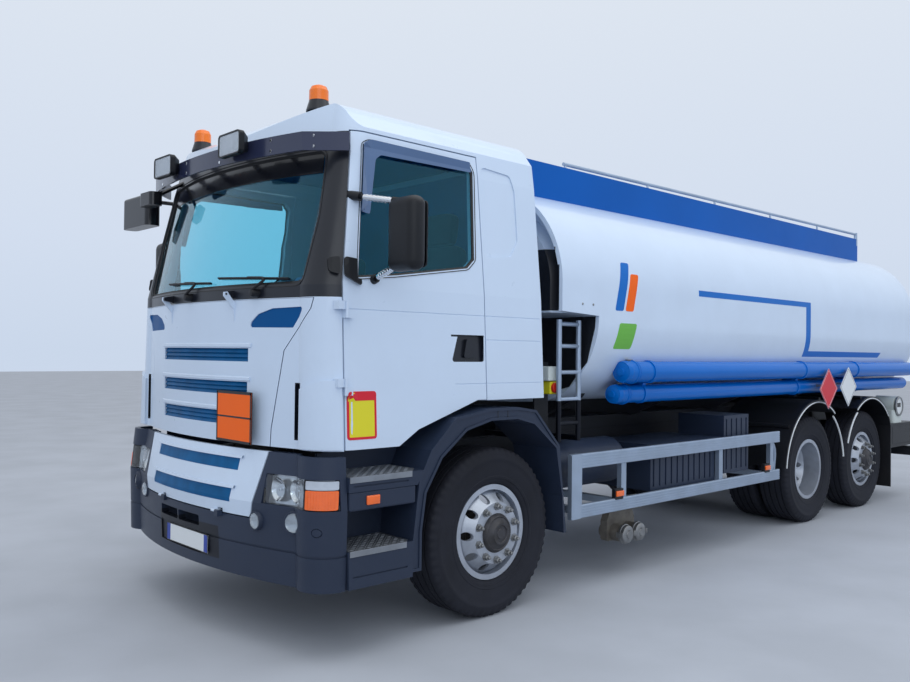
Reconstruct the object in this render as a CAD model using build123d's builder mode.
from build123d import *

import os
from math import asin, cos, degrees, radians, sin

os.makedirs("parts", exist_ok=True)

# A three-axle rigid fuel tanker with a short forward-control cab. +X is forward, +Y is
# the driver's left, and the ground is z = 0 under the middle of the overall length.

# Overall layout, in millimetres
front_overhang = 1500
wheelbase = 4640
bogie_spacing = 1355
rear_overhang = 1405
overall_length = front_overhang + wheelbase + bogie_spacing + rear_overhang
front_axle_x = overall_length / 2 - front_overhang
clearance = 0.3  # between fixed faces that nearly touch
moving_gap = 8  # between a door or lid and its opening


def ahead(distance):
    """The x of a place that many millimetres ahead of the front axle."""
    return front_axle_x + distance


drive_place = -wheelbase
tag_place = drive_place - bogie_spacing
rear_end = tag_place - rear_overhang
drive_axle_x = ahead(drive_place)
tag_axle_x = ahead(tag_place)


def keep(piece, name):
    """Labels a finished piece and writes its file."""
    piece.part.label = name
    export_step(piece.part, f"parts/{name}.step")


def side_plane(y):
    """An upright plane along the vehicle at y, with x forward and z up, facing left."""
    return Plane(origin=(0, y, 0), x_dir=(-1, 0, 0), z_dir=(0, 1, 0))


def along(points):
    """Points given as (ahead of the front axle, z) in the coordinates of side_plane."""
    return [(-ahead(x), z) for x, z in points]


def across_plane(x):
    """An upright plane across the vehicle at x, with y to the left and z up, facing forward."""
    return Plane(origin=(x, 0, 0), x_dir=(0, 1, 0), z_dir=(1, 0, 0))


# Wheels: 22.5 inch rims with 315 mm tyres
tyre_radius = 530
tyre_width = 315
tread_width = 270
rim_radius = 299
rim_seat_radius = 287
rim_width = 254
rim_wall = 13
disc_wall = 14
hub_radius = 118
spindle_radius = 45
hand_holes = 10
hand_hole_radius = 27
hand_hole_circle = 222
front_wheel_y = 1042
drive_outer_y = 980
twin_spacing = 350
disc_offset = twin_spacing / 2  # mounting face from the rim's middle
tag_wheel_y = 971

wheel_table = [  # name, axle x, middles of its tyres with the way each disc bulges
    ("front", front_axle_x, [(front_wheel_y, 1)]),
    ("drive", drive_axle_x, [(drive_outer_y, -1), (drive_outer_y - twin_spacing, 1)]),
    ("tag", tag_axle_x, [(tag_wheel_y, 1)]),
]
tyre_half = [  # radius, distance from the tyre's middle
    (rim_seat_radius + clearance, rim_width / 2 - 12 - clearance),
    (rim_radius + clearance, rim_width / 2 - 12 - clearance),
    (rim_radius + 5, tyre_width / 2 - 24),
    (tyre_radius - 120, tyre_width / 2),
    (tyre_radius - 24, tread_width / 2 + 10),
    (tyre_radius, tread_width / 2 - 14),
]
rim_half = [  # radius, distance from the rim's middle, from the inner face of the flange
    (rim_seat_radius - rim_wall - 8, rim_width / 2),
    (rim_radius, rim_width / 2),
    (rim_radius, rim_width / 2 - 12),
    (rim_seat_radius, rim_width / 2 - 12),
]


def both_ways(half):
    """A closed section from half of one, repeated on the other side of the middle."""
    return half + [(r, -w) for r, w in reversed(half)]


def wheel_section_plane(x, y):
    """A plane through a wheel's axle, with the radius upwards as its x and +Y as its y."""
    return Plane(origin=(x, y, tyre_radius), x_dir=(0, 0, 1), z_dir=(-1, 0, 0))


for name, axle_x, middles in wheel_table:
    axle = Axis((axle_x, 0, tyre_radius), (0, 1, 0))
    with BuildPart() as tyre:
        for y, bulge in middles:
            with BuildSketch(wheel_section_plane(axle_x, y)):
                with BuildLine():
                    Polyline(*both_ways(tyre_half), close=True)
                make_face()
        revolve(axis=axle)
    plural = "s" if len(middles) > 1 else ""
    keep(tyre, f"{name}_left_tyre{plural}")
    with BuildPart() as far_tyre:
        mirror(tyre.part, about=Plane.XZ)
    keep(far_tyre, f"{name}_right_tyre{plural}")

    with BuildPart() as rim:
        for y, bulge in middles:
            face = bulge * disc_offset
            root = bulge * 50
            with BuildSketch(wheel_section_plane(axle_x, y)):
                with BuildLine():
                    Polyline(*both_ways(rim_half), close=True)
                make_face()
                with BuildLine():
                    Polyline(
                        (rim_seat_radius - rim_wall + 4, root),
                        (hand_hole_circle + 22, bulge * 108),
                        (190, face),
                        (hub_radius - 20, face),
                        (hub_radius - 20, face - bulge * disc_wall),
                        (184, face - bulge * disc_wall),
                        (hand_hole_circle + 8, bulge * 96),
                        (rim_seat_radius - rim_wall - 12, root - bulge * 12),
                        close=True,
                    )
                make_face()
            revolve(axis=axle)
            with BuildSketch(Plane(origin=(axle_x, y, tyre_radius), x_dir=(1, 0, 0), z_dir=(0, 1, 0))):
                with PolarLocations(hand_hole_circle, hand_holes):
                    Circle(hand_hole_radius)
            extrude(amount=bulge * (disc_offset - 5), mode=Mode.SUBTRACT)
        outer_y, outer_bulge = middles[0]
        hub_face = outer_y + outer_bulge * disc_offset
        hub_out = hub_face + (35 if outer_bulge > 0 else 90)
        hub_in = hub_face - (120 if outer_bulge > 0 else 40)
        with BuildSketch(wheel_section_plane(axle_x, 0)):
            with BuildLine():
                Polyline(
                    (0, hub_out),
                    (hub_radius - 48, hub_out),
                    (hub_radius - 20, hub_out - 22),
                    (hub_radius, hub_face),
                    (hub_radius, hub_in),
                    (spindle_radius + clearance, hub_in),
                    (spindle_radius + clearance, hub_out - 30),
                    (0, hub_out - 30),
                    close=True,
                )
            make_face()
        revolve(axis=axle)
    keep(rim, f"{name}_left_rim{plural}")
    with BuildPart() as far_rim:
        mirror(rim.part, about=Plane.XZ)
    keep(far_rim, f"{name}_right_rim{plural}")

front_spindle_end = front_wheel_y + disc_offset + 35 - 30 - 5

# Chassis frame
rail_bottom = 750
rail_top = 1020
rail_web_y = 385
rail_flange = 90
rail_wall = 10
frame_front_x = ahead(1180)
frame_rear_x = ahead(rear_end + 150)
cab_mount_places = [-380, 900]
cab_floor_bottom = 1365
cross_member_places = [1130, -560, -1700, -3300, drive_place + 490, drive_place - 660, tag_place - 565,
                       rear_end + 200]
with BuildPart() as frame_rails:
    with BuildSketch(across_plane(frame_rear_x)):
        with Locations((rail_web_y - rail_flange / 2, (rail_bottom + rail_top) / 2)):
            Rectangle(rail_flange, rail_top - rail_bottom)
        with Locations((rail_web_y - rail_wall - rail_flange / 2, (rail_bottom + rail_top) / 2)):
            Rectangle(rail_flange, rail_top - rail_bottom - 2 * rail_wall, mode=Mode.SUBTRACT)
        mirror(about=Plane.YZ)
    extrude(amount=frame_front_x - frame_rear_x)
    for place in cross_member_places:
        with BuildSketch(side_plane(-(rail_web_y - rail_wall))):
            with Locations((-ahead(place), (rail_bottom + rail_top) / 2)):
                Rectangle(60, 160)
        extrude(amount=2 * (rail_web_y - rail_wall))
    with BuildSketch(Plane.XY.offset(rail_top)):
        for place in cab_mount_places:
            for side in (-1, 1):
                with Locations((ahead(place), side * (rail_web_y - rail_flange / 2))):
                    Rectangle(110, rail_flange - 10)
    extrude(amount=cab_floor_bottom - rail_top)
keep(frame_rails, "frame_rails")

# Engine and gearbox, as one plain block between the rails
engine_half_width = 280
engine_outline = [(1000, 640), (1000, 1290), (-250, 1290), (-300, 1100), (-500, 1080), (-500, 700)]
with BuildPart() as engine:
    with BuildSketch(side_plane(-engine_half_width)):
        with BuildLine():
            Polyline(*along(engine_outline), close=True)
        make_face()
    extrude(amount=2 * engine_half_width)
    with BuildSketch(side_plane(-(rail_web_y - rail_wall))):
        with Locations((-ahead(350), 880)):
            Rectangle(120, 60)
    extrude(amount=2 * (rail_web_y - rail_wall))
keep(engine, "engine")

# Front axle with leaf springs
kingpin_y = 900
kingpin_radius = 24
kingpin_half_height = 150
beam_half_height = 62
spring_half_width = 40
with BuildPart() as front_axle:
    with BuildSketch(across_plane(ahead(-45))):
        with BuildLine():
            Polyline(
                (-kingpin_y, tyre_radius - beam_half_height + 10),
                (-600, tyre_radius - 110),
                (600, tyre_radius - 110),
                (kingpin_y, tyre_radius - beam_half_height + 10),
                (kingpin_y, tyre_radius + beam_half_height),
                (600, tyre_radius),
                (-600, tyre_radius),
                (-kingpin_y, tyre_radius + beam_half_height),
                close=True,
            )
        make_face()
    extrude(amount=90)
    for side in (-1, 1):
        with BuildSketch(Plane.XY.offset(tyre_radius - beam_half_height)):
            with Locations((front_axle_x, side * kingpin_y)):
                Circle(48)
        extrude(amount=2 * beam_half_height)
        with BuildSketch(Plane.XY.offset(tyre_radius - kingpin_half_height)):
            with Locations((front_axle_x, side * kingpin_y)):
                Circle(kingpin_radius)
        extrude(amount=2 * kingpin_half_height)
        with BuildSketch(side_plane(side * (rail_web_y + clearance + spring_half_width) - spring_half_width)):
            with BuildLine():
                Polyline(
                    *along([(-820, 790), (-780, 730), (-100, 620), (-100, 528), (100, 528), (100, 620),
                            (780, 730), (820, 790), (780, 800), (100, 680), (-100, 680), (-780, 800)]),
                    close=True,
                )
            make_face()
        extrude(amount=2 * spring_half_width)
keep(front_axle, "front_axle")

# Steering knuckles, which turn about the kingpins
knuckle_ear = 40
ear_gap = 0.3
for name, side in (("left", 1), ("right", -1)):
    with BuildPart() as knuckle:
        for lift in (-1, 1):
            near = tyre_radius + lift * (beam_half_height + ear_gap)
            with BuildSketch(Plane.XY.offset(near)):
                with Locations((front_axle_x, side * kingpin_y)):
                    Circle(52)
                with Locations((front_axle_x, side * (kingpin_y + 50))):
                    Rectangle(90, 100)
                with Locations((front_axle_x, side * kingpin_y)):
                    Circle(kingpin_radius + clearance, mode=Mode.SUBTRACT)
            extrude(amount=lift * knuckle_ear)
        with BuildSketch(side_plane(side * (kingpin_y + 56))):
            with Locations((-front_axle_x, tyre_radius)):
                Rectangle(110, 2 * (beam_half_height + knuckle_ear))
        extrude(amount=side * 44)
        with BuildSketch(side_plane(side * (kingpin_y + 100))):
            with Locations((-front_axle_x, tyre_radius)):
                Circle(spindle_radius)
        extrude(amount=side * (front_spindle_end - kingpin_y - 100))
        with BuildSketch(Plane.XY.offset(tyre_radius - beam_half_height - ear_gap - knuckle_ear)):
            with Locations((ahead(-140), side * (kingpin_y - 10))):
                Rectangle(200, 50)
        extrude(amount=30)
    keep(knuckle, f"knuckle_{name}")

# Rear axles with their air springs
drive_spindle_end = drive_outer_y - disc_offset + 55
tag_spindle_end = tag_wheel_y + disc_offset - 5
air_spring_radius = 125
with BuildPart() as drive_axle:
    with BuildSketch(side_plane(-drive_spindle_end)):
        with Locations((-drive_axle_x, tyre_radius)):
            Circle(spindle_radius)
    extrude(amount=2 * drive_spindle_end)
    with BuildSketch(side_plane(-640)):
        with Locations((-drive_axle_x, tyre_radius)):
            Rectangle(130, 150)
    extrude(amount=1280)
    with Locations((drive_axle_x, 0, tyre_radius)):
        Sphere(210)
    with BuildSketch(across_plane(drive_axle_x)):
        with Locations((0, tyre_radius + 20)):
            Circle(95)
    extrude(amount=330)
    for axle_side in (-1, 1):
        with BuildSketch(side_plane(axle_side * 340 - 45)):
            with BuildLine():
                Polyline((-drive_axle_x - 460, 445), (-drive_axle_x + 560, 445), (-drive_axle_x + 560, 485),
                         (-drive_axle_x + 60, 560), (-drive_axle_x - 60, 560), (-drive_axle_x - 460, 485),
                         close=True)
            make_face()
        extrude(amount=90)
        with BuildSketch(Plane.XY.offset(485)):
            with Locations((drive_axle_x + 380, axle_side * 300), (drive_axle_x - 440, axle_side * 300)):
                Circle(air_spring_radius)
        extrude(amount=rail_bottom - 485 - clearance)
keep(drive_axle, "drive_axle")

with BuildPart() as tag_axle:
    with BuildSketch(side_plane(-tag_spindle_end)):
        with Locations((-tag_axle_x, tyre_radius)):
            Circle(spindle_radius)
    extrude(amount=2 * tag_spindle_end)
    with BuildSketch(side_plane(-760)):
        with Locations((-tag_axle_x, tyre_radius)):
            Rectangle(120, 120)
    extrude(amount=1520)
    for axle_side in (-1, 1):
        with BuildSketch(Plane.XY.offset(tyre_radius + 60)):
            with Locations((tag_axle_x, axle_side * 300)):
                Circle(air_spring_radius)
        extrude(amount=rail_bottom - tyre_radius - 60 - clearance)
keep(tag_axle, "tag_axle")

# Cab form: plan sections joined from the sill to the roof
cab_rear = -460
cab_wall = 60
panel_depth = 50
cab_sections = [  # z, half width, where the corner starts, corner (x, y), front at the middle
    (1120, 1212, 1100, 1300, 950, 1420),
    (2020, 1166, 1110, 1300, 950, 1420),
    (2770, 1093, 985, 1130, 960, 1275),
    (3160, 1035, 900, 1040, 900, 1190),
]
roof_crown = 3125
roof_side_height = 3085


def cab_form(inset):
    """The closed form of the cab, all its faces moved inwards by inset."""
    with BuildPart() as form:
        for z, half, bend, corner_x, corner_y, front in cab_sections:
            with BuildSketch(Plane.XY.offset(z)):
                with BuildLine():
                    rear_left = (ahead(cab_rear + inset), half - inset)
                    bend_left = (ahead(bend - inset / 2), half - inset)
                    corner_left = (ahead(corner_x - inset), corner_y - inset / 2)
                    corner_right = (corner_left[0], -corner_left[1])
                    bend_right = (bend_left[0], -bend_left[1])
                    rear_right = (rear_left[0], -rear_left[1])
                    Line(rear_right, rear_left)
                    Line(rear_left, bend_left)
                    TangentArc(bend_left, corner_left, tangent=(1, 0))
                    ThreePointArc(corner_left, (ahead(front - inset), 0), corner_right)
                    TangentArc(bend_right, corner_right, tangent=(1, 0))
                    Line(bend_right, rear_right)
                make_face()
        loft(ruled=True)
        with BuildSketch(across_plane(ahead(cab_rear - 50))):
            with BuildLine():
                edge_y = 1017 - inset
                edge_z = 3000 - inset
                Polyline((-edge_y, edge_z), (-1250, 2700), (-1250, 1000), (1250, 1000), (1250, 2700),
                         (edge_y, edge_z))
                ThreePointArc((edge_y, edge_z), (965 - inset, 3055 - inset), (840, roof_side_height - inset))
                ThreePointArc((840, roof_side_height - inset), (0, roof_crown - inset),
                              (-840, roof_side_height - inset))
                ThreePointArc((-840, roof_side_height - inset), (inset - 965, 3055 - inset),
                              (-edge_y, edge_z))
            make_face()
        extrude(amount=2200, mode=Mode.INTERSECT)
        with BuildSketch(side_plane(-1300)):
            with BuildLine():
                brow = [(1300, 2900 - inset), (1130 - inset, 3050 - inset), (880 - inset, 3110 - inset)]
                ThreePointArc(*along(brow))
                Polyline(*along([brow[2], (-380 + inset, roof_crown - 4 - inset), (-600, 3060 - inset),
                                 (-600, 1000), (1600, 1000), (1600, 2900 - inset), brow[0]]))
            make_face()
        extrude(amount=2600, mode=Mode.INTERSECT)
    return form.part


cab_outside = cab_form(0)
cab_inside = cab_form(cab_wall)
panel_inside = cab_form(panel_depth)
skin_wall = 14
skin_inside = cab_form(skin_wall)
cab_clear = cab_form(-clearance)

# Below the windscreen the front is part of an upright cylinder
cab_front, cab_corner_x, cab_corner_y = cab_sections[0][5], cab_sections[0][3], cab_sections[0][4]
front_rise = cab_front - cab_corner_x
front_radius = (cab_corner_y ** 2 + front_rise ** 2) / (2 * front_rise)
front_arc_axis = Axis((ahead(cab_front - front_radius), 0, 0), (0, 0, 1))


def front_arc_start(half_width):
    """The plane through the front arc's axis where a band of that half width starts, and its sweep."""
    angle = asin(half_width / front_radius)
    plane = Plane(origin=(ahead(cab_front - front_radius), 0, 0), x_dir=(cos(angle), -sin(angle), 0),
                  z_dir=(-sin(angle), -cos(angle), 0))
    return plane, degrees(2 * angle)


def side_y(z):
    """Half the width of the cab at a height below the windows."""
    low, high = cab_sections[0], cab_sections[1]
    return low[1] + (high[1] - low[1]) * (z - low[0]) / (high[0] - low[0])


# Doors
door_front = 1165
door_rear = 80
bottom_z = 1121
door_outline = [  # ahead of the front axle, z, round the left door from its lower rear corner
    (door_rear, cab_floor_bottom), (157, cab_floor_bottom), (645, 1209), (793, bottom_z),
    (door_front, bottom_z),
    (door_front, 2030), (1045, 2905), (door_rear, 2905),
]
window_outline = [(215, 2181), (788, 2097), (1064, 2066), (985, 2830), (940, 2855), (150, 2850), (120, 2800),
                  (150, 2240)]
door_inside_y = 985
handle_recess = [(96, 1603), (373, 1603), (318, 1766), (96, 1766)]
handle_paddle = [(150, 1628), (262, 1628), (240, 1742), (196, 1742), (150, 1700)]
handle_depth = 24
crease_depth = 4
creases = [(1890, -440, 1161), (1740, -440, 84), (1468, -440, 350)]  # z, rear end, front end
pressed_panel = [(46, 2262), (-190, 2290), (-262, 2400), (-262, 2728), (-225, 2830), (46, 2850)]
pressed_depth = 8
hinge_y = 1212
hinge_x = ahead(door_front + moving_gap / 2)
hinge_radius = 9
hinge_heights = [1420, 1840]  # bottom of each door-side barrel
barrel_length = 45

# Front hatch, between the windscreen and the folding step panel
hatch_top = 1948
hatch_bottom = 1100
hatch_hinge = (ahead(1455), hatch_top + 37)  # x, z
hatch_arm_y = 400
hatch_arm_wall = 14
hatch_pin_radius = 6
hatch_lug_wall = 15
hatch_lug = [(1330, 1962), (1400, 1962), (1462, 1974), (1466, 1985), (1462, 1996), (1400, 2008), (1330, 2008)]
hatch_arm = [(1388, 1830), (1400, 1830), (1406, 1900), (1468, 1975), (1466, 1997), (1446, 2000), (1436, 1985),
             (1406, 1946), (1388, 1936)]
hatch_edge = [  # half width, z, ahead of the front axle at that place
    (735, 1090, 1345), (742, 1220, 1343), (835, 1660, 1325), (1020, 1890, 1270), (1040, 1960, 1262),
]
prism_front = 1560
prism_back = 1120


def hatch_prism(gap, top, bottom):
    """The wedge that the hatch is cut from: its edges slope inwards to the rear at 45 degrees."""
    with BuildPart() as wedge:
        for x in (prism_back, prism_front):
            with BuildSketch(across_plane(ahead(x))):
                with BuildLine():
                    right = [(half + x - at + gap, z) for half, z, at in hatch_edge]
                    left = [(-y, z) for y, z in reversed(right)]
                    Polyline(*right, *left, close=True)
                make_face()
        loft(ruled=True)
        with BuildSketch(Plane.XY.offset(bottom)):
            with Locations((ahead(1300), 0)):
                Rectangle(900, 2800)
        extrude(amount=top - bottom, mode=Mode.INTERSECT)
    return wedge.part


# Shallow creases along the sides of doors and cab, and the forms that sink into the skin
with BuildPart() as crease_cuts:
    for z, rear, front in creases:
        for side in (-1, 1):
            with BuildSketch(across_plane(ahead(rear))):
                with BuildLine():
                    Polyline((side * (side_y(z) + 6), z + 9), (side * (side_y(z) + 6), z - 9),
                             (side * (side_y(z) - crease_depth), z), close=True)
                make_face()
            extrude(amount=front - rear)
handle_inside = cab_form(handle_depth)
pressed_inside = cab_form(pressed_depth)

# Cab shell
floor_z = 1425
firewall = 1215
with BuildPart() as cab_space:
    add(cab_inside)
    with BuildSketch(Plane.XY.offset(1000)):
        with Locations((ahead(400), 0)):
            Rectangle(2400, 2600)
    extrude(amount=floor_z - 1000, mode=Mode.SUBTRACT)
    with BuildSketch(Plane.XY.offset(1000)):
        with Locations((ahead(firewall + 300), 0)):
            Rectangle(600, 2600)
    extrude(amount=1975 - 1000, mode=Mode.SUBTRACT)

windscreen_outline = [(-960, 2030), (960, 2030), (985, 2400), (940, 2795), (-940, 2795), (-985, 2400)]  # y, z
windscreen_corner = 60
below_cab = [(-700, 900), (-700, cab_floor_bottom), *door_outline[1:4], (1700, bottom_z), (1700, 900)]
with BuildPart() as cab_shell:
    add(cab_outside)
    add(cab_space.part, mode=Mode.SUBTRACT)
    with BuildSketch(side_plane(-1400)):
        with BuildLine():
            Polyline(*along(below_cab), close=True)
        make_face()
    extrude(amount=2800, mode=Mode.SUBTRACT)
    with BuildSketch(Plane.XY.offset(900)):
        with Locations((ahead(340), 0)):
            Rectangle(1750, 1440)
    extrude(amount=cab_floor_bottom - 900, mode=Mode.SUBTRACT)
    for side in (-1, 1):
        with BuildSketch(side_plane(side * (door_inside_y - moving_gap))):
            with BuildLine():
                Polyline(*along(door_outline), close=True)
            make_face()
            offset(amount=moving_gap / 2, kind=Kind.INTERSECTION)
        extrude(amount=side * 500, mode=Mode.SUBTRACT)
        with BuildSketch(side_plane(side * 900)):
            with BuildLine():
                Polyline(*along([(760, 1500), (760, 1175), (1120, 1175), (1120, 1500)]), close=True)
            make_face()
        extrude(amount=side * 400, mode=Mode.SUBTRACT)
    with BuildSketch(across_plane(ahead(900))):
        with BuildLine():
            Polyline(*windscreen_outline, close=True)
        make_face()
        fillet(vertices(), windscreen_corner)
    extrude(amount=700, mode=Mode.SUBTRACT)
    with BuildSketch(across_plane(ahead(1280))):
        with Locations((0, 1530)):
            Rectangle(1320, 820)
    extrude(amount=300, mode=Mode.SUBTRACT)
front_band_bottom = 1100
with BuildPart() as front_band:
    with BuildSketch(Plane.XY.offset(front_band_bottom)):
        with Locations((ahead(door_front + moving_gap / 2 + 300), 0)):
            Rectangle(600, 2600)
    extrude(amount=1950 - front_band_bottom)
    add(cab_outside, mode=Mode.INTERSECT)
    add(panel_inside, mode=Mode.SUBTRACT)
with BuildPart() as pressed_cuts:
    for side in (-1, 1):
        with BuildSketch(side_plane(side * 900)):
            with BuildLine():
                Polyline(*along(pressed_panel), close=True)
            make_face()
            fillet(vertices(), 38)
        extrude(amount=side * 400)
    add(pressed_inside, mode=Mode.SUBTRACT)
with BuildPart() as cab_body:
    add(cab_shell.part)
    add(front_band.part, mode=Mode.SUBTRACT)
    for side in (-1, 1):
        with BuildSketch(side_plane(side * (hatch_arm_y - clearance))):
            with BuildLine():
                Polyline(*along(hatch_lug), close=True)
            make_face()
        extrude(amount=-side * hatch_lug_wall)
        with BuildSketch(side_plane(side * (hatch_arm_y - hatch_lug_wall / 2))):
            with Locations((-hatch_hinge[0], hatch_hinge[1])):
                Circle(hatch_pin_radius)
        extrude(amount=side * (hatch_lug_wall / 2 + hatch_arm_wall + 3))
    add(crease_cuts.part, mode=Mode.SUBTRACT)
    add(pressed_cuts.part, mode=Mode.SUBTRACT)
keep(cab_body, "cab_shell")

# Windscreen, set in its opening
glass_depth = 14
glass_wall = 6
glass_outside = cab_form(glass_depth)
glass_inside = cab_form(glass_depth + glass_wall)
with BuildPart() as windscreen:
    with BuildSketch(across_plane(ahead(900))):
        with BuildLine():
            Polyline(*windscreen_outline, close=True)
        make_face()
        fillet(vertices(), windscreen_corner)
        offset(amount=-clearance)
    extrude(amount=700)
    add(glass_outside, mode=Mode.INTERSECT)
    add(glass_inside, mode=Mode.SUBTRACT)
keep(windscreen, "windscreen")

# Door handles: the floor of each recess with a paddle standing on it
handles = {}
for name, side in (("left", 1), ("right", -1)):
    with BuildPart() as handle:
        with BuildSketch(side_plane(side * 1100)):
            with BuildLine():
                Polyline(*along(handle_recess), close=True)
            make_face()
            fillet(vertices(), 16)
        extrude(amount=side * 200)
        add(handle_inside, mode=Mode.INTERSECT)
        with BuildSketch(side_plane(side * 1130)):
            with BuildLine():
                Polyline(*along(handle_paddle), close=True)
            make_face()
            fillet(vertices(), 14)
        extrude(amount=side * (side_y(1700) - 1130 - 5))
    handles[name] = handle.part

# Doors with their glass
for name, side in (("left", 1), ("right", -1)):
    with BuildPart() as door:
        with BuildSketch(side_plane(side * door_inside_y)):
            with BuildLine():
                Polyline(*along(door_outline), close=True)
            make_face()
            offset(amount=-moving_gap / 2, kind=Kind.INTERSECTION)
        extrude(amount=side * 500)
        add(cab_outside, mode=Mode.INTERSECT)
        add(cab_inside, mode=Mode.SUBTRACT)
        with BuildSketch(side_plane(side * 800)):
            with BuildLine():
                Polyline(*along(window_outline), close=True)
            make_face()
        extrude(amount=side * 600, mode=Mode.SUBTRACT)
        for z in hinge_heights:
            with BuildSketch(Plane.XY.offset(z)):
                with Locations((hinge_x, side * hinge_y)):
                    Circle(hinge_radius)
                with Locations((hinge_x - 25, side * (hinge_y - 32))):
                    Rectangle(50, 54)
            extrude(amount=barrel_length)
        with BuildSketch(side_plane(side * 1140)):
            with BuildLine():
                Polyline(*along(handle_recess), close=True)
            make_face()
            fillet(vertices(), 16)
        extrude(amount=side * 200, mode=Mode.SUBTRACT)
        add(handles[name], mode=Mode.ADD)
        add(crease_cuts.part, mode=Mode.SUBTRACT)
    keep(door, f"door_{name}")
    with BuildPart() as door_glass:
        with BuildSketch(side_plane(side * 800)):
            with BuildLine():
                Polyline(*along(window_outline), close=True)
            make_face()
            offset(amount=-clearance, kind=Kind.INTERSECTION)
        extrude(amount=side * 600)
        add(glass_outside, mode=Mode.INTERSECT)
        add(glass_inside, mode=Mode.SUBTRACT)
    keep(door_glass, f"door_glass_{name}")

# Corner panels between the hatch and the doors, each with a bulge low down and a slit beside it
bulge_outline = [(985, 1128), (1300, 1128), (1300, 1500), (1120, 1500), (985, 1450)]  # y, z
bulge_reach = 16
slit = (925, 970, 1168, 1482)  # inner y, outer y, bottom, top
slit_depth = 30
with BuildPart() as bulges:
    for side in (-1, 1):
        with BuildSketch(across_plane(ahead(1186))):
            with BuildLine():
                Polyline(*[(side * y, z) for y, z in bulge_outline], close=True)
            make_face()
        extrude(amount=400)
    add(cab_form(-bulge_reach), mode=Mode.INTERSECT)
    add(skin_inside, mode=Mode.SUBTRACT)
with BuildPart() as slit_cuts:
    for side in (-1, 1):
        with BuildSketch(across_plane(ahead(1200))):
            with Locations((side * (slit[0] + slit[1]) / 2, (slit[2] + slit[3]) / 2)):
                SlotOverall(slit[3] - slit[2], slit[1] - slit[0], rotation=90)
        extrude(amount=400)
    add(cab_form(slit_depth), mode=Mode.SUBTRACT)
with BuildPart() as corner_panels:
    add(front_band.part)
    add(bulges.part)
    add(slit_cuts.part, mode=Mode.SUBTRACT)
    add(hatch_prism(moving_gap, 2100, 900), mode=Mode.SUBTRACT)
    for side in (-1, 1):
        for z in hinge_heights:
            with BuildSketch(Plane.XY.offset(z + barrel_length + clearance)):
                with Locations((hinge_x, side * hinge_y)):
                    Circle(hinge_radius)
                with Locations((hinge_x + 25, side * (hinge_y - 32))):
                    Rectangle(50, 54)
            extrude(amount=barrel_length)
keep(corner_panels, "corner_panels")

# Front hatch with its slats
slat_table = [  # bottom, top, half width
    (1593, 1670, 545), (1400, 1476, 540), (1222, 1300, 530),
]
brow_section = [(-6, 34), (9, 24), (9, 8), (-6, 2)]  # ahead of the skin, above the slat's top
brow_overlap = 28
intake_outline = [(556, 1790), (905, 1786), (990, 1902), (745, 1896), (628, 1866), (568, 1822)]  # y, z
with BuildPart() as front_hatch:
    add(hatch_prism(0, hatch_top, hatch_bottom))
    add(cab_outside, mode=Mode.INTERSECT)
    add(skin_inside, mode=Mode.SUBTRACT)
    for bottom, top, half in slat_table:
        with BuildSketch(across_plane(ahead(1200))):
            with Locations((0, (bottom + top) / 2)):
                Rectangle(2 * half, top - bottom)
        extrude(amount=400, mode=Mode.SUBTRACT)
        start, sweep_angle = front_arc_start(half + brow_overlap)
        with BuildSketch(start):
            with BuildLine():
                Polyline(*[(front_radius + out, top + rise) for out, rise in brow_section], close=True)
            make_face()
        revolve(axis=front_arc_axis, revolution_arc=sweep_angle)
    for side in (-1, 1):
        with BuildSketch(across_plane(ahead(1100))):
            with BuildLine():
                Polyline(*[(side * y, z) for y, z in intake_outline], close=True)
            make_face()
            fillet(vertices(), 14)
        extrude(amount=500, mode=Mode.SUBTRACT)
        with BuildSketch(side_plane(side * hatch_arm_y)):
            with BuildLine():
                Polyline(*along(hatch_arm), close=True)
            make_face()
            with Locations((-hatch_hinge[0], hatch_hinge[1])):
                Circle(hatch_pin_radius + clearance, mode=Mode.SUBTRACT)
        extrude(amount=side * hatch_arm_wall)
keep(front_hatch, "front_hatch")

louvres = 3
louvre_front = 5  # behind the skin's face
louvre_valley = 17
louvre_back = 30
with BuildPart() as hatch_slats:
    for bottom, top, half in slat_table:
        low, high = bottom + clearance, top - clearance
        pitch = (high - low) / louvres
        saw = [(front_radius - louvre_back, low)]
        for louvre in range(louvres):
            saw.append((front_radius - louvre_front, low + louvre * pitch))
            saw.append((front_radius - louvre_valley, low + (louvre + 1) * pitch - 3))
        saw += [(front_radius - louvre_front, high), (front_radius - louvre_back, high)]
        start, sweep_angle = front_arc_start(half - clearance)
        with BuildSketch(start):
            with BuildLine():
                Polyline(*saw, close=True)
            make_face()
        revolve(axis=front_arc_axis, revolution_arc=sweep_angle)
    for side in (-1, 1):
        with BuildSketch(across_plane(ahead(1100))):
            with BuildLine():
                Polyline(*[(side * y, z) for y, z in intake_outline], close=True)
            make_face()
            fillet(vertices(), 14)
            offset(amount=-clearance)
        extrude(amount=500)
    add(cab_form(louvre_front), mode=Mode.INTERSECT)
    add(cab_form(louvre_back), mode=Mode.SUBTRACT)
keep(hatch_slats, "hatch_slats")

# Lower front: bumper, lamps and the folding step panel
nose_bottom = 380
nose_top = 1092
nose_sections = [  # z, half width, where the corner starts, corner (x, y), front at the middle
    (nose_bottom, 1235, 1200, 1330, 1000, 1475),
    (810, 1245, 1200, 1345, 1000, 1500),
    (nose_top, 1222, 1185, 1305, 960, 1430),
]
nose_rear = 1174
bumper_wall = 45


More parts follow.
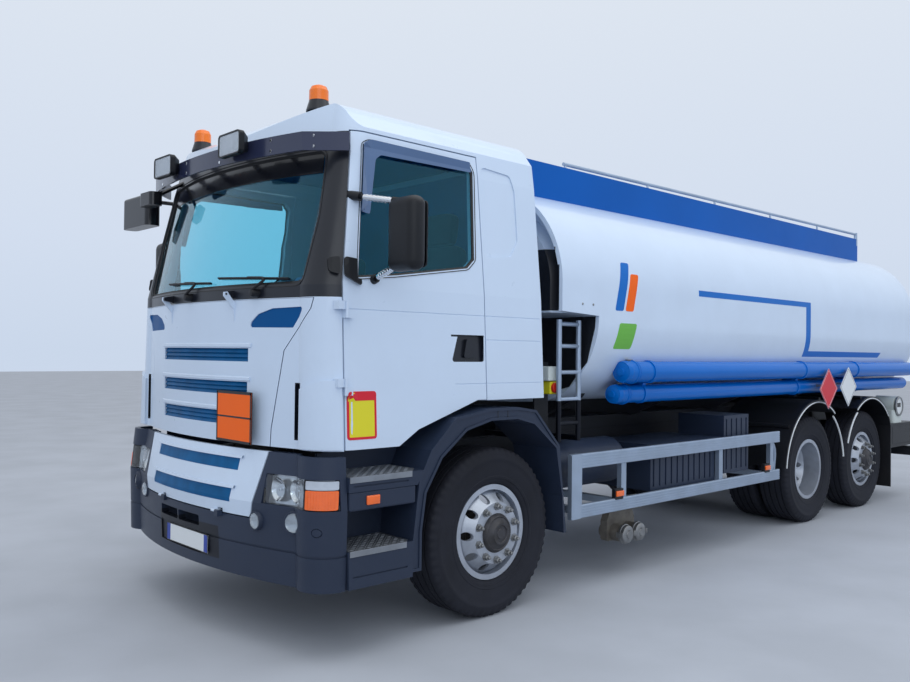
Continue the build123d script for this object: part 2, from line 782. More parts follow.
def nose_form(inset):
    """The closed form of the lower front, its upright faces moved inwards by inset."""
    with BuildPart() as form:
        for z, half, bend, corner_x, corner_y, front in nose_sections:
            with BuildSketch(Plane.XY.offset(z)):
                with BuildLine():
                    rear_left = (ahead(nose_rear), half - inset)
                    bend_left = (ahead(bend), half - inset)
                    corner_left = (ahead(corner_x - inset), corner_y - inset / 2)
                    corner_right = (corner_left[0], -corner_left[1])
                    bend_right = (bend_left[0], -bend_left[1])
                    rear_right = (rear_left[0], -rear_left[1])
                    front_middle = (ahead(front - inset), 0)
                    Polyline(bend_right, rear_right, rear_left, bend_left)
                    TangentArc(bend_left, corner_left, tangent=(1, 0))
                    ThreePointArc(corner_left, front_middle, corner_right)
                    TangentArc(bend_right, corner_right, tangent=(1, 0))
                make_face()
        loft(ruled=True)
    return form.part


nose_outside = nose_form(0)
moulding_z = 562
moulding_height = 12
moulding_depth = 6
plate_middle = (-90, 512)  # y, z
plate_recess = (560, 132)
plate_depth = 8
grille_slots = [(-228, 640, 262, 62), (48, 640, 262, 62)]  # y, z, width, height
tow_cover = (1180, 700, 24)  # y, z, radius
with BuildPart() as moulding_cut:
    with BuildSketch(Plane.XY.offset(moulding_z)):
        with Locations((ahead(1350), 0)):
            Rectangle(900, 2800)
    extrude(amount=moulding_height)
    add(nose_form(moulding_depth), mode=Mode.SUBTRACT)
with BuildPart() as plate_cut:
    with BuildSketch(across_plane(ahead(1300))):
        with Locations(plate_middle):
            Rectangle(*plate_recess)
        with Locations((tow_cover[0], tow_cover[1]), (-tow_cover[0], tow_cover[1])):
            Circle(tow_cover[2])
            Circle(tow_cover[2] - 4, mode=Mode.SUBTRACT)
    extrude(amount=300)
    add(nose_form(plate_depth), mode=Mode.SUBTRACT)
flap_bottom = 725
flap_outline = [(-740, nose_top), (-672, flap_bottom), (672, flap_bottom), (740, nose_top)]
flap_wall = 24
flap_hinge = (ahead(1492), flap_bottom + 3)
flap_barrel_radius = 8
flap_barrel_places = [-350, 350]
flap_barrel_length = 40
lamp_bottom = 812
lamp_top = 975
lamp_inner_y = 760
flap_slats = [(790, 866, 500), (969, 1036, 520)]  # bottom, top, half width
fog_lamps = [(715, 710, 45), (1012, 732, 40)]  # y, z, radius
frame_bracket_y = 400
with BuildPart() as bumper:
    add(nose_outside)
    add(nose_form(bumper_wall), mode=Mode.SUBTRACT)
    with BuildSketch(across_plane(ahead(1100))):
        with BuildLine():
            Polyline(*flap_outline, (740, nose_top + 60), (-740, nose_top + 60), close=True)
        make_face()
        offset(amount=moving_gap, kind=Kind.INTERSECTION)
    extrude(amount=500, mode=Mode.SUBTRACT)
    for side in (-1, 1):
        with BuildSketch(across_plane(ahead(1215))):
            with Locations((side * (lamp_inner_y + 300), (lamp_bottom + lamp_top) / 2)):
                Rectangle(600, lamp_top - lamp_bottom)
        extrude(amount=400, mode=Mode.SUBTRACT)
        for y, z, radius in fog_lamps:
            with BuildSketch(across_plane(ahead(1150))):
                with Locations((side * y, z)):
                    Circle(radius)
            extrude(amount=450, mode=Mode.SUBTRACT)
        with BuildSketch(side_plane(side * frame_bracket_y - 15)):
            with BuildLine():
                Polyline(*along([(940, 780), (940, 990), (1180, 990), (1380, 690), (1440, 690), (1440, 450),
                                 (1360, 450)]), close=True)
            make_face()
        extrude(amount=30)
    add(moulding_cut.part, mode=Mode.SUBTRACT)
    add(plate_cut.part, mode=Mode.SUBTRACT)
    for y, z, width, height in grille_slots:
        with BuildSketch(across_plane(ahead(1300))):
            with Locations((y, z)):
                RectangleRounded(width, height, 12)
        extrude(amount=300, mode=Mode.SUBTRACT)
    for y in flap_barrel_places:
        with BuildSketch(side_plane(y + flap_barrel_length + clearance)):
            with Locations((-flap_hinge[0], flap_hinge[1])):
                Circle(flap_barrel_radius)
            with Locations((-flap_hinge[0] + 8, flap_hinge[1] - 14)):
                Rectangle(32, 28)
        extrude(amount=flap_barrel_length)
keep(bumper, "bumper")

with BuildPart() as headlamps:
    for side in (-1, 1):
        with BuildSketch(across_plane(ahead(1215 + clearance))):
            with Locations((side * (lamp_inner_y + 300), (lamp_bottom + lamp_top) / 2)):
                Rectangle(600 - 2 * clearance, lamp_top - lamp_bottom - 2 * clearance)
            for y, z, radius in fog_lamps:
                with Locations((side * y, z)):
                    Circle(radius - clearance)
        extrude(amount=400)
    add(nose_form(3), mode=Mode.INTERSECT)
    add(nose_form(bumper_wall + 20), mode=Mode.SUBTRACT)
keep(headlamps, "headlamps")

with BuildPart() as lower_flap:
    with BuildSketch(across_plane(ahead(1150))):
        with BuildLine():
            Polyline(*flap_outline, close=True)
        make_face()
        for bottom, top, half in flap_slats:
            with Locations((0, (bottom + top) / 2)):
                Rectangle(2 * half, top - bottom, mode=Mode.SUBTRACT)
    extrude(amount=400)
    add(nose_outside, mode=Mode.INTERSECT)
    add(nose_form(flap_wall), mode=Mode.SUBTRACT)
    for y in flap_barrel_places:
        with BuildSketch(side_plane(y + flap_barrel_length - 4)):
            with Locations((-ahead(1450), flap_bottom)):
                Rectangle(160, 44)
        extrude(amount=flap_barrel_length + 8, mode=Mode.SUBTRACT)
        with BuildSketch(side_plane(y)):
            with Locations((-flap_hinge[0], flap_hinge[1])):
                Circle(flap_barrel_radius)
            with Locations((-flap_hinge[0] + 16, flap_hinge[1] + 4)):
                Rectangle(34, 10)
        extrude(amount=flap_barrel_length)
keep(lower_flap, "lower_flap")

with BuildPart() as lower_slats:
    for bottom, top, half in flap_slats:
        with BuildSketch(across_plane(ahead(1150))):
            with Locations((0, (bottom + top) / 2)):
                Rectangle(2 * (half - clearance), top - bottom - 2 * clearance)
        extrude(amount=400)
    add(nose_form(4), mode=Mode.INTERSECT)
    add(nose_form(flap_wall + 6), mode=Mode.SUBTRACT)
keep(lower_slats, "lower_slats")

# Front mudguards with the steps of the cab
guard_outer_y = 1255
guard_inner_y = 860
step_back_y = 950
arch_outside = [(735, 410), (735, 479), (677, 927), (588, 1092), (392, 1269), (100, 1315), (-160, 1315),
                (-326, 1290), (-563, 1047), (-640, 454)]
arch_inside = [(-615, 454), (-596, 700), (-530, 1030), (-310, 1200), (-150, 1240), (90, 1240), (300, 1190),
               (500, 1040), (622, 850), (655, 634), (655, 410)]
arch_lip = 17
arch_field_depth = 7
tread_groove = (6, 8)  # depth, height
with BuildPart() as front_guards:
    for side in (-1, 1):
        with BuildSketch(side_plane(side * guard_inner_y)):
            with BuildLine():
                Polyline(*along(arch_outside + arch_inside), close=True)
            make_face()
        extrude(amount=side * (guard_outer_y - guard_inner_y))
        with BuildSketch(side_plane(side * (guard_outer_y - arch_field_depth))):
            with BuildLine():
                Polyline(*along(arch_outside + arch_inside), close=True)
            make_face()
            offset(amount=-arch_lip, kind=Kind.INTERSECTION)
        extrude(amount=side * (arch_field_depth + 10), mode=Mode.SUBTRACT)
        with BuildSketch(side_plane(side * (step_back_y - 20))):
            with BuildLine():
                Polyline(*along([(650, 390), (1165, 390), (1172, 1085), (1130, 1085), (1130, 1110),
                                 (600, 1110)]), close=True)
            make_face()
        extrude(amount=side * 20)
        with BuildSketch(side_plane(side * step_back_y)):
            with BuildLine():
                Polyline(*along([(690, 903), (1172, 903), (1172, 983), (640, 983)]), close=True)
            make_face()
            with BuildLine():
                Polyline(*along([(720, 385), (1165, 385), (1172, 588), (720, 588)]), close=True)
            make_face()
        extrude(amount=side * (guard_outer_y - step_back_y))
        with BuildSketch(side_plane(side * (guard_outer_y - tread_groove[0]))):
            for z in (935, 450):
                with Locations((-ahead(950), z)):
                    Rectangle(380, tread_groove[1])
        extrude(amount=side * (tread_groove[0] + 10), mode=Mode.SUBTRACT)
        with BuildSketch(side_plane(side * rail_web_y)):
            with Locations((-ahead(-566), 880), (-ahead(655), 880)):
                Circle(24)
        extrude(amount=side * (guard_inner_y + 30 - rail_web_y))
keep(front_guards, "front_guards")

# Sun visor with its two spot lamps, and the beacons on the roof
visor_bottom = 2768
visor_top = 2872
visor_wall = 12
with BuildPart() as sun_visor:
    with BuildSketch(Plane.XY.offset(visor_bottom)):
        with BuildLine():
            visor_end = (ahead(1105), 1120)
            Line(visor_end, (ahead(1290), 935))
            ThreePointArc((ahead(1290), 935), (ahead(1415), 0), (ahead(1290), -935))
            Line((ahead(1290), -935), (visor_end[0], -visor_end[1]))
            Line((visor_end[0], -visor_end[1]), (visor_end[0] - visor_wall, -visor_end[1] + 8))
            Line((visor_end[0] - visor_wall, -visor_end[1] + 8), (ahead(1290 - 1.2 * visor_wall), -928))
            ThreePointArc((ahead(1290 - 1.2 * visor_wall), -928), (ahead(1415 - visor_wall), 0),
                          (ahead(1290 - 1.2 * visor_wall), 928))
            Line((ahead(1290 - 1.2 * visor_wall), 928), (visor_end[0] - visor_wall, visor_end[1] - 8))
            Line((visor_end[0] - visor_wall, visor_end[1] - 8), visor_end)
        make_face()
    extrude(amount=visor_top - visor_bottom)
    for y, reach in ((-600, 1356), (-220, 1402), (220, 1402), (600, 1356)):
        with BuildSketch(side_plane(y - 10)):
            with BuildLine():
                Polyline(*along([(1180, 2905), (1180, 2860), (reach, 2830), (reach, 2860), (1250, 2905)]),
                         close=True)
            make_face()
        extrude(amount=20)
    add(cab_outside, mode=Mode.SUBTRACT)
keep(sun_visor, "sun_visor")

spot_lamp_y = 440
spot_lamp_z = 2854
spot_lamp_size = (250, 135)
spot_lamp_back = 1395
spot_lamp_depth = 75
lens_rim = 9
lens_depth = 6
with BuildPart() as spot_lamps:
    for side in (-1, 1):
        for share, far in ((0.72, 0), (1, 42), (1, spot_lamp_depth)):
            with BuildSketch(across_plane(ahead(spot_lamp_back + far))):
                with Locations((side * spot_lamp_y, spot_lamp_z)):
                    RectangleRounded(spot_lamp_size[0] * share, spot_lamp_size[1] * share, 24 * share)
        loft(ruled=True)
        with BuildSketch(across_plane(ahead(spot_lamp_back + spot_lamp_depth - lens_depth))):
            with Locations((side * spot_lamp_y, spot_lamp_z)):
                RectangleRounded(spot_lamp_size[0] - 2 * lens_rim, spot_lamp_size[1] - 2 * lens_rim, 16)
        extrude(amount=lens_depth, mode=Mode.SUBTRACT)
    with BuildSketch(Plane.XY.offset(visor_bottom)):
        with BuildLine():
            ThreePointArc((ahead(1290), 935), (ahead(1415 + clearance), 0), (ahead(1290), -935))
            Polyline((ahead(1290), -935), (ahead(1100), -935), (ahead(1100), 935), (ahead(1290), 935))
        make_face()
    extrude(amount=visor_top - visor_bottom + clearance, mode=Mode.SUBTRACT)
keep(spot_lamps, "spot_lamps")

beacon_places = [(1043, 727), (1043, -727)]
beacon_base = 3068
beacon_profile = [(0, 0), (74, 0), (74, 8), (58, 62), (57, 125), (46, 148), (24, 158), (0, 160)]
with BuildPart() as beacons:
    for x, y in beacon_places:
        with BuildSketch(Plane(origin=(ahead(x), y, beacon_base), x_dir=(1, 0, 0), z_dir=(0, -1, 0))):
            with BuildLine():
                Polyline(*beacon_profile, close=True)
            make_face()
        revolve(axis=Axis((ahead(x), y, 0), (0, 0, 1)))
    add(cab_outside, mode=Mode.SUBTRACT)
keep(beacons, "beacons")

with BuildPart() as roof_hatch:
    with BuildSketch(Plane.XY.offset(3100)):
        with Locations((ahead(260), 0)):
            RectangleRounded(680, 620, 60)
    extrude(amount=60)
    fillet(roof_hatch.faces().sort_by(Axis.Z)[-1].edges(), 15)
    add(cab_outside, mode=Mode.SUBTRACT)
keep(roof_hatch, "roof_hatch")

# Mirrors: one on each door, and two more on the kerb side of the cab
mirror_middle = (960, 1450, 2290)
mirror_size = (120, 230, 400)
arm_radius = 14
for name, side in (("left", 1), ("right", -1)):
    with BuildPart() as mirror_unit:
        mx, my, mz = mirror_middle
        with BuildSketch(Plane.XY.offset(mz - mirror_size[2] / 2)):
            with Locations((ahead(mx), side * my)):
                RectangleRounded(mirror_size[0], mirror_size[1], 40)
        extrude(amount=mirror_size[2])
        fillet(mirror_unit.edges().group_by(Axis.Z)[-1], 25)
        fillet(mirror_unit.edges().group_by(Axis.Z)[0], 25)
        for root, top in (((1075, 1100, 2478), 2478), ((952, 1130, 2050), 2050)):
            start = Vector(ahead(root[0]), side * root[1], root[2])
            end = Vector(ahead(mx), side * (my - 60), mz + (150 if top > mz else -150))
            with BuildSketch(Plane(origin=start, z_dir=end - start)):
                Circle(arm_radius)
            extrude(amount=(end - start).length)
        add(cab_clear, mode=Mode.SUBTRACT)
    keep(mirror_unit, f"mirror_{name}")

with BuildPart() as kerb_mirrors:
    with BuildSketch(Plane.XY.offset(2560)):
        with Locations((ahead(1240), -1290)):
            RectangleRounded(110, 440, 40)
    extrude(amount=230)
    fillet(kerb_mirrors.edges().group_by(Axis.Z)[-1], 22)
    with BuildSketch(Plane(origin=(ahead(1240), -1130, 2740), z_dir=(-130, 70, -10))):
        Circle(arm_radius)
    extrude(amount=240)
    with BuildSketch(Plane.XY.offset(2640)):
        with Locations((ahead(1400), -760)):
            RectangleRounded(90, 190, 30)
    extrude(amount=90)
    with BuildSketch(Plane(origin=(ahead(1390), -780, 2700), z_dir=(-190, 0, 110))):
        Circle(arm_radius)
    extrude(amount=300)
    add(cab_clear, mode=Mode.SUBTRACT)
    add(sun_visor.part, mode=Mode.SUBTRACT)
keep(kerb_mirrors, "kerb_mirrors")

# Inside the cab
dashboard_outline = [(firewall - clearance, floor_z + 250), (firewall - clearance, 1960), (1150, 1990),
                     (930, 1960), (870, 1830), (960, 1700)]
with BuildPart() as dashboard:
    with BuildSketch(side_plane(-1040)):
        with BuildLine():
            Polyline(*along(dashboard_outline), close=True)
        make_face()
    extrude(amount=2080)
    add(cab_space.part, mode=Mode.INTERSECT)
    column = Plane(origin=(ahead(960), 560, 1700), z_dir=(-120, 0, 300))
    with BuildSketch(column):
        Circle(28)
    extrude(amount=330)
    with BuildSketch(column.offset(318)):
        Circle(225)
        Circle(195, mode=Mode.SUBTRACT)
        Rectangle(400, 46)
        Circle(70)
    extrude(amount=26)
keep(dashboard, "dashboard")

seat_y = 560
with BuildPart() as seats:
    for side in (-1, 1):
        with BuildSketch(side_plane(side * seat_y - 245)):
            with BuildLine():
                Polyline(*along([(60, 1740), (560, 1770), (580, 1870), (130, 1850), (-20, 2440), (-10, 2620),
                                 (-100, 2640), (-150, 2430), (-20, 1800)]), close=True)
            make_face()
        extrude(amount=490)
        with BuildSketch(Plane.XY.offset(floor_z)):
            with Locations((ahead(270), side * seat_y)):
                Rectangle(420, 400)
        extrude(amount=340)
keep(seats, "seats")

# Tank: one long closed vessel whose front end is recessed in a collar
tank_front = -620
tank_rear = rear_end + 50
tank_half_width = 1220
tank_top_side = (750, 2822)
tank_crown = 2880
tank_bottom_side = (690, 1300)
collar_depth = 130
collar_wall = 34
tank_rear_radius = 150
head_margin = 120
head_reach = 60
head_taper = 40
notch_rear = -1030
notch_top = 1958


def tank_section(inset):
    """The outline of the tank across the vehicle, with y and z as its axes, moved inwards by inset."""
    top_y, top_z = tank_top_side
    bottom_y, bottom_z = tank_bottom_side
    with BuildSketch() as section:
        with BuildLine():
            top = (top_y - inset / 3, top_z - inset)
            bottom = (bottom_y - inset / 3, bottom_z + inset)
            upper = (tank_half_width - inset, 2130)
            lower = (tank_half_width - inset, 1900)
            shoulder = (1058 - inset * 0.7, 2600 - inset * 0.7)
            haunch = (1085 - inset * 0.7, 1510 + inset * 0.7)
            for way in (1, -1):
                ThreePointArc((way * top[0], top[1]), (way * shoulder[0], shoulder[1]),
                              (way * upper[0], upper[1]))
                Line((way * upper[0], upper[1]), (way * lower[0], lower[1]))
                ThreePointArc((way * lower[0], lower[1]), (way * haunch[0], haunch[1]),
                              (way * bottom[0], bottom[1]))
            ThreePointArc(top, (0, tank_crown - inset), (-top[0], top[1]))
            ThreePointArc(bottom, (0, bottom[1] - 25), (-bottom[0], bottom[1]))
        make_face()
    return section.sketch


coaming_y = 750
coaming_wall = 30
coaming_front = -660
coaming_rear = tank_rear + 610
coaming_top = 3090
with BuildPart() as tank:
    with BuildSketch(across_plane(ahead(tank_rear))):
        add(tank_section(0))
    extrude(amount=tank_front - tank_rear)
    fillet(tank.faces().sort_by(Axis.X)[0].edges(), tank_rear_radius)
    with BuildSketch(across_plane(ahead(tank_front - collar_depth))):
        add(tank_section(collar_wall))
    extrude(amount=collar_depth, mode=Mode.SUBTRACT)
    with BuildSketch(across_plane(ahead(tank_front - collar_depth))):
        add(tank_section(head_margin))
    extrude(amount=head_reach, taper=head_taper)
    with BuildSketch(side_plane(-1300)):
        with BuildLine():
            Polyline(*along([(-500, 1000), (-500, notch_top), (notch_rear, notch_top - 25),
                             (notch_rear + 40, 1500), (notch_rear, 1000)]), close=True)
        make_face()
    extrude(amount=2600, mode=Mode.SUBTRACT)
keep(tank, "tank")

# The blue coaming round the manholes, a walkway plate and the manhole necks
lid_places = [-1500, -2950, -4400, -5850]
neck_radius = 250
neck_top = 2960
with BuildPart() as coaming:
    with BuildSketch(Plane.XY.offset(2780)):
        with Locations((ahead((coaming_front + coaming_rear) / 2), 0)):
            Rectangle(coaming_front - coaming_rear, 2 * coaming_y)
            Rectangle(coaming_front - coaming_rear - 2 * coaming_wall, 2 * (coaming_y - coaming_wall),
                      mode=Mode.SUBTRACT)
    extrude(amount=coaming_top - 2780)
    add(tank.part, mode=Mode.SUBTRACT)
keep(coaming, "coaming")

hinge_back = 285
lid_bracket = [  # ahead of the lid's middle, z
    (-200, 2860), (-200, neck_top - 20), (16 - hinge_back, neck_top + 40), (-16 - hinge_back, neck_top + 40),
    (-16 - hinge_back, neck_top - 10), (-245, 2860),
]
lid_arm = [
    (-150, neck_top + 20), (-150, neck_top + 46), (-hinge_back, neck_top + 38),
    (-hinge_back - 15, neck_top + 22), (-hinge_back, neck_top + 7), (-200, neck_top + 7),
]
with BuildPart() as manholes:
    for place in lid_places:
        with BuildSketch(Plane.XY.offset(2800)):
            with Locations((ahead(place), 0)):
                Circle(neck_radius)
        extrude(amount=neck_top - 2800)
        for y in (-90, 90):
            with BuildSketch(side_plane(y - 12)):
                with BuildLine():
                    Polyline(*along([(place + x, z) for x, z in lid_bracket]), close=True)
                make_face()
            extrude(amount=24)
        with BuildSketch(side_plane(-90)):
            with Locations((-ahead(place - hinge_back), neck_top + 22)):
                Circle(8)
        extrude(amount=180)
    add(tank.part, mode=Mode.SUBTRACT)
keep(manholes, "manholes")

for number, place in enumerate(lid_places, start=1):
    with BuildPart() as lid:
        with BuildSketch(Plane.XY.offset(neck_top + clearance)):
            with Locations((ahead(place), 0)):
                Circle(neck_radius + 12)
        extrude(amount=34)
        fillet(lid.faces().sort_by(Axis.Z)[-1].edges(), 14)
        with BuildSketch(Plane.XY.offset(neck_top + 30)):
            with Locations((ahead(place + 30), 0)):
                Circle(70)
        extrude(amount=26)
        with BuildSketch(side_plane(-60)):
            with BuildLine():
                Polyline(*along([(place + x, z) for x, z in lid_arm]), close=True)
            make_face()
            with Locations((-ahead(place - hinge_back), neck_top + 22)):
                Circle(8 + clearance, mode=Mode.SUBTRACT)
        extrude(amount=120)
        for y in (-90, 90):
            with BuildSketch(side_plane(y - 20)):
                with Locations((-ahead(place - 235), neck_top + 20)):
                    Rectangle(150, 100)
            extrude(amount=40, mode=Mode.SUBTRACT)
    keep(lid, f"manhole_lid_{number}")

# Cradle between the chassis frame and the tank
cradle_places = [-1250, -2600, -3950, -5300, tank_rear + 550]
cradle_front = -930
cradle_rear = tank_rear + 120
with BuildPart() as tank_cradle:
    for side in (-1, 1):
        with BuildSketch(Plane.XY.offset(rail_top)):
            with Locations((ahead((cradle_front + cradle_rear) / 2), side * 340)):
                Rectangle(cradle_front - cradle_rear, 80)
        extrude(amount=110)
    for place in cradle_places:
        with BuildSketch(across_plane(ahead(place) - 30)):
            with BuildLine():
                Polyline((-420, rail_top + 100), (420, rail_top + 100), (880, 1330), (1000, 1500),
                         (-1000, 1500), (-880, 1330), close=True)
            make_face()
        extrude(amount=60)
    add(tank.part, mode=Mode.SUBTRACT)
keep(tank_cradle, "tank_cradle")

# Hose tubes along both sides of the tank
tube_table = [  # y, z, radius
    (1178, 1530, 80), (1100, 1362, 70),
]
tube_front = -1370
tube_rear = tank_rear + 200
tube_ring_places = [-1720, -4310, -5550]
tube_ring_width = 40
tube_cap_length = 95
tube_bracket = [(1178, 1560), (1178, 1500), (1100, 1330), (860, 1330), (1060, 1560)]  # y, z
with BuildPart() as hose_tubes:
    for side in (-1, 1):
        with BuildSketch(across_plane(ahead(tube_rear))):
            for y, z, radius in tube_table:
                with Locations((side * y, z)):
                    Circle(radius)
        extrude(amount=tube_front - tube_rear)
        with BuildSketch(across_plane(ahead(tube_front - tube_cap_length))):
            for y, z, radius in tube_table:
                with Locations((side * y, z)):
                    Circle(radius + 5)
        extrude(amount=tube_cap_length + 12, taper=4)
        for place in tube_ring_places:
            with BuildSketch(across_plane(ahead(place))):
                for y, z, radius in tube_table:
                    with Locations((side * y, z)):
                        Circle(radius + 8)
                with BuildLine():
                    Polyline(*[(side * y, z) for y, z in tube_bracket], close=True)
                make_face()
            extrude(amount=tube_ring_width)
    add(tank.part, mode=Mode.SUBTRACT)
keep(hose_tubes, "hose_tubes")

# Side guards: two rails each side on stays from the frame
guard_y = 1190
guard_depth = 32
guard_rails = [(862, 965), (517, 612)]  # bottom, top
guard_bottom, guard_top = guard_rails[1][0], guard_rails[0][1]
guard_front = -732
guard_post_width = 108
guard_grooves = 4
guard_groove_depth = 4
guard_rear = drive_place + 850
guard_stays = [-860, -1385, -2783, guard_rear + 90]
with BuildPart() as side_guards:
    for side in (-1, 1):
        with BuildSketch(across_plane(ahead(guard_rear))):
            for bottom, top in guard_rails:
                with Locations((side * (guard_y + guard_depth / 2), (bottom + top) / 2)):
                    RectangleRounded(guard_depth, top - bottom, 8)
                for groove in range(guard_grooves):
                    groove_z = bottom + (top - bottom) * (groove + 1) / (guard_grooves + 1)
                    with Locations((side * (guard_y + guard_depth), groove_z)):
                        Rectangle(2 * guard_groove_depth, 7, mode=Mode.SUBTRACT)
        extrude(amount=guard_front - guard_rear)
        with BuildSketch(side_plane(side * guard_y)):
            with Locations((-ahead(guard_front - guard_post_width / 2), (guard_top + guard_bottom) / 2)):
                RectangleRounded(guard_post_width, guard_top - guard_bottom, 14)
        extrude(amount=side * (guard_depth + 4))
        for place in guard_stays:
            with BuildSketch(Plane.XY.offset(guard_rails[1][0] + 10)):
                with Locations((ahead(place), side * (guard_y - 20))):
                    Rectangle(60, 40)
            extrude(amount=guard_rails[0][1] - guard_rails[1][0] - 20)
            with BuildSketch(side_plane(side * rail_web_y)):
                with Locations((-ahead(place), guard_rails[1][0] + 45)):
                    Rectangle(50, 50)
            extrude(amount=side * (guard_y - rail_web_y - 10))
            with BuildSketch(side_plane(side * rail_web_y)):
                with Locations((-ahead(place), 700)):
                    Rectangle(50, 330)
            extrude(amount=side * 40)
keep(side_guards, "side_guards")

# Rear mudguards
arch_radius = 700
arch_wall = 14
arch_lip_width = 12
arch_lip_depth = 16
mudguard_inner_y = 470
mudguard_outer_y = 1205
mudguard_table = [  # axle x, first angle, last angle from straight ahead
    (drive_axle_x, 6, 126), (tag_axle_x, 56, 137),
]
mudguard_stays = [(drive_axle_x, 40), (drive_axle_x, 100), (tag_axle_x, 75), (tag_axle_x, 118)]
mud_flap_back = tag_place - 567
mud_flap = [(mud_flap_back + 75, 1012), (mud_flap_back, 880), (mud_flap_back, 175),
            (mud_flap_back - arch_wall, 175), (mud_flap_back - arch_wall, 884), (mud_flap_back + 62, 1016)]


def arch_band(axle_x, first, last, outer, inner):
    """A band round an axle between two angles and two radii, in the coordinates of side_plane."""
    with BuildSketch() as band:
        with BuildLine():
            rings = []
            for radius in (outer, inner):
                ring = []
                for angle in (first, (first + last) / 2, last):
                    over, up = radius * cos(radians(angle)), radius * sin(radians(angle))
                    ring.append((-axle_x - over, tyre_radius + up))
                ThreePointArc(*ring)
                rings.append(ring)
            Line(rings[0][0], rings[1][0])
            Line(rings[0][2], rings[1][2])
        make_face()
    return band.sketch


with BuildPart() as rear_mudguards:
    for side in (-1, 1):
        with BuildSketch(side_plane(side * mudguard_inner_y)):
            for axle_x, first, last in mudguard_table:
                add(arch_band(axle_x, first, last, arch_radius, arch_radius - arch_wall))
            with BuildLine():
                Polyline(*along(mud_flap), close=True)
            make_face()
        extrude(amount=side * (mudguard_outer_y - mudguard_inner_y))
        with BuildSketch(side_plane(side * (mudguard_outer_y - arch_lip_width))):
            for axle_x, first, last in mudguard_table:
                add(arch_band(axle_x, first, last, arch_radius - 2, arch_radius - arch_wall - arch_lip_depth))
        extrude(amount=side * arch_lip_width)
        for axle_x, angle in mudguard_stays:
            x = axle_x + (arch_radius + 12) * cos(radians(angle))
            z = tyre_radius + (arch_radius + 12) * sin(radians(angle))
            with BuildSketch(side_plane(side * rail_web_y)):
                with Locations((-x, z)):
                    Circle(20)
            extrude(amount=side * (mudguard_outer_y - 40 - rail_web_y))
            with BuildSketch(side_plane(side * rail_web_y)):
                with Locations((-x, (z + 925) / 2)):
                    Rectangle(60, z - 875)
            extrude(amount=side * 15)
keep(rear_mudguards, "rear_mudguards")

# Rear cabinet and bumper
cabinet_front = mud_flap_back - arch_wall - 8
cabinet_rear = rear_end + 70
cabinet_top = 895
cabinet_side = 1200
cabinet_door = cabinet_front - cabinet_rear - 80
cabinet_door_height = 215
door_line = 8  # width of the pressed line round the cabinet's door
with BuildPart() as rear_cabinet:
    with BuildSketch(side_plane(rail_web_y + clearance)):
        with BuildLine():
            Polyline(*along([(cabinet_front, 620), (cabinet_front, cabinet_top), (cabinet_rear, cabinet_top),
                             (cabinet_rear, 640), (cabinet_rear + 40, 620)]), close=True)
        make_face()
    extrude(amount=cabinet_side - rail_web_y - clearance)
    with BuildSketch(across_plane(ahead(cabinet_rear))):
        with Locations((990, 716)):
            RectangleRounded(380, 136, 20)
    extrude(amount=-50)
    with BuildSketch(side_plane(cabinet_side)):
        with Locations((-ahead((cabinet_front + cabinet_rear) / 2), 760)):
            RectangleRounded(cabinet_door, cabinet_door_height, 24)
            RectangleRounded(cabinet_door - 2 * door_line, cabinet_door_height - 2 * door_line,
                             24 - door_line, mode=Mode.SUBTRACT)
    extrude(amount=-4, mode=Mode.SUBTRACT)
    mirror(about=Plane.XZ)
keep(rear_cabinet, "rear_cabinet")

with BuildPart() as rear_bumper:
    with BuildSketch(side_plane(-1200)):
        with Locations((-ahead(rear_end + 60), 535)):
            RectangleRounded(120, 110, 15)
    extrude(amount=2400)
    for side in (-1, 1):
        with BuildSketch(side_plane(side * 340 - 40)):
            with BuildLine():
                Polyline(*along([(rear_end + 200, rail_bottom), (rear_end + 350, rail_bottom),
                                 (rear_end + 120, 500), (rear_end + 20, 500), (rear_end + 20, 560)]),
                         close=True)
            make_face()
        extrude(amount=80)
keep(rear_bumper, "rear_bumper")

# Flow meter on the left, ladder frame behind the cab and what hangs under the tank
meter_place = cabinet_front - 284
with BuildPart() as flow_meter:
    with BuildSketch(Plane.XY.offset(cabinet_top + clearance)):
        with Locations((ahead(meter_place), 1050)):
            RectangleRounded(260, 260, 40)
    extrude(amount=150)
    with BuildSketch(side_plane(940)):
        with Locations((-ahead(meter_place), 1090)):
            Circle(118)
    extrude(amount=225)
keep(flow_meter, "flow_meter")

ladder_y = 1090
ladder_tube = 19
ladder_places = [-745, -962]
with BuildPart() as ladder_frame:
    for side in (-1, 1):
        for x in ladder_places:
            with BuildSketch(Plane.XY.offset(1042)):
                with Locations((ahead(x), side * ladder_y)):
                    Circle(ladder_tube)
            extrude(amount=1900 - 1042)
        for z in (1170, 1340, 1530, 1715, 1870):
            with BuildSketch(across_plane(ahead(ladder_places[1]))):
                with Locations((side * ladder_y, z)):
                    Circle(ladder_tube - 4)
            extrude(amount=ladder_places[0] - ladder_places[1])
        for x in ladder_places:
            with BuildSketch(side_plane(side * 380)):
                with Locations((-ahead(x), 1060)):
                    Rectangle(30, 36)
            extrude(amount=side * (ladder_y - 380))
keep(ladder_frame, "ladder_frame")

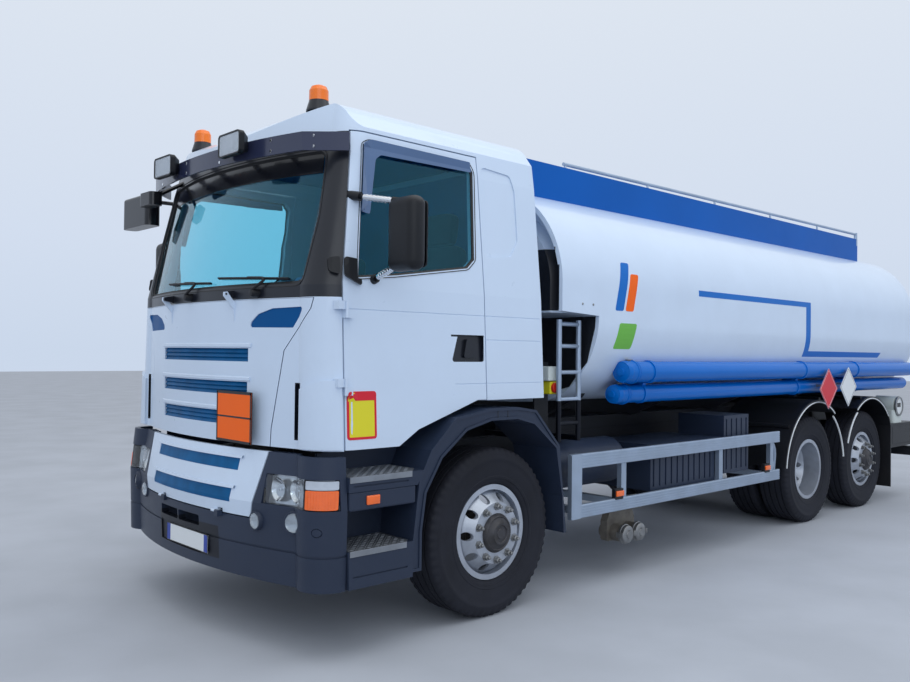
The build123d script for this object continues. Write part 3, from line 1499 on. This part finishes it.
air_tank_radius = 175
box_groove_pitch = 78
box_groove_width = 22
box_groove_depth = 8
box_table = [  # front, rear, bottom, top, inner y, outer y
    (-1790, -2880, 600, 960, 560, 1150), (-2900, -3330, 640, 1140, 700, 1150),
]
with BuildPart() as chassis_boxes:
    with BuildSketch(across_plane(ahead(-1600))):
        with Locations((900, 850)):
            Circle(air_tank_radius)
    extrude(amount=850)
    fillet(chassis_boxes.edges().filter_by(GeomType.CIRCLE), 55)
    for front, rear, bottom, top, inner, outer in box_table:
        with BuildSketch(Plane.XY.offset(bottom)):
            with Locations((ahead((front + rear) / 2), (inner + outer) / 2)):
                Rectangle(front - rear, outer - inner)
        extrude(amount=top - bottom)
        groove_count = int((front - rear) / box_groove_pitch)
        with BuildSketch(side_plane(outer)):
            for groove in range(groove_count):
                place = front - (groove + 0.5) * (front - rear) / groove_count
                with Locations((-ahead(place), (bottom + top) / 2)):
                    Rectangle(box_groove_width, top - bottom - 60)
        extrude(amount=-box_groove_depth, mode=Mode.SUBTRACT)
        with BuildSketch(Plane.XY.offset(800)):
            with Locations((ahead((front + rear) / 2), (inner + rail_web_y) / 2)):
                Rectangle(200, inner - rail_web_y)
        extrude(amount=90)
    with BuildSketch(Plane.XY.offset(800)):
        with Locations((ahead(-1000), 560), (ahead(-1250), 560)):
            Rectangle(60, 350)
    extrude(amount=90)
keep(chassis_boxes, "chassis_boxes")

fuel_strap_places = [-1880, -2530]
with BuildPart() as fuel_tank:
    with BuildSketch(across_plane(ahead(-2750))):
        with Locations((-800, 770)):
            RectangleRounded(640, 560, 120)
    extrude(amount=1150)
    for place in fuel_strap_places:
        with BuildSketch(across_plane(ahead(place))):
            with Locations((-800, 770)):
                RectangleRounded(652, 572, 124)
        extrude(amount=50)
    with BuildSketch(Plane.XY.offset(780)):
        with Locations((ahead(-1850), -440), (ahead(-2500), -440)):
            Rectangle(60, 110)
    extrude(amount=200)
keep(fuel_tank, "fuel_tank")

coupling_places = [-1480, -1640]
coupling_z = 310
coupling_radius = 64
coupling_length = 100
coupling_face_y = 1140
coupling_plate_y = coupling_face_y - coupling_length  # outer face of the carrier plate
with BuildPart() as bottom_coupling:
    for place in coupling_places:
        with BuildSketch(side_plane(coupling_plate_y - 110)):
            with Locations((-ahead(place), coupling_z)):
                Circle(coupling_radius - 12)
        extrude(amount=60)
        with BuildSketch(side_plane(coupling_plate_y)):
            with Locations((-ahead(place), coupling_z)):
                Circle(coupling_radius)
        extrude(amount=coupling_length)
    with BuildSketch(side_plane(coupling_plate_y - 60)):
        with BuildLine():
            Polyline(*along([(-1385, coupling_z - 60), (-1385, coupling_z + 90), (-1450, 530), (-1670, 530),
                             (-1735, coupling_z + 90), (-1735, coupling_z - 60)]), close=True)
        make_face()
        fillet(vertices(), 22)
    extrude(amount=60)
    with BuildSketch(Plane.XY.offset(500)):
        with Locations((ahead(-1560), 1075)):
            Rectangle(120, 190)
    extrude(amount=40)
    with BuildSketch(Plane.XY.offset(guard_rails[1][0])):
        with Locations((ahead(-1560), guard_y - 30)):
            Rectangle(120, 60 - 2 * clearance)
    extrude(amount=80)
keep(bottom_coupling, "bottom_coupling")
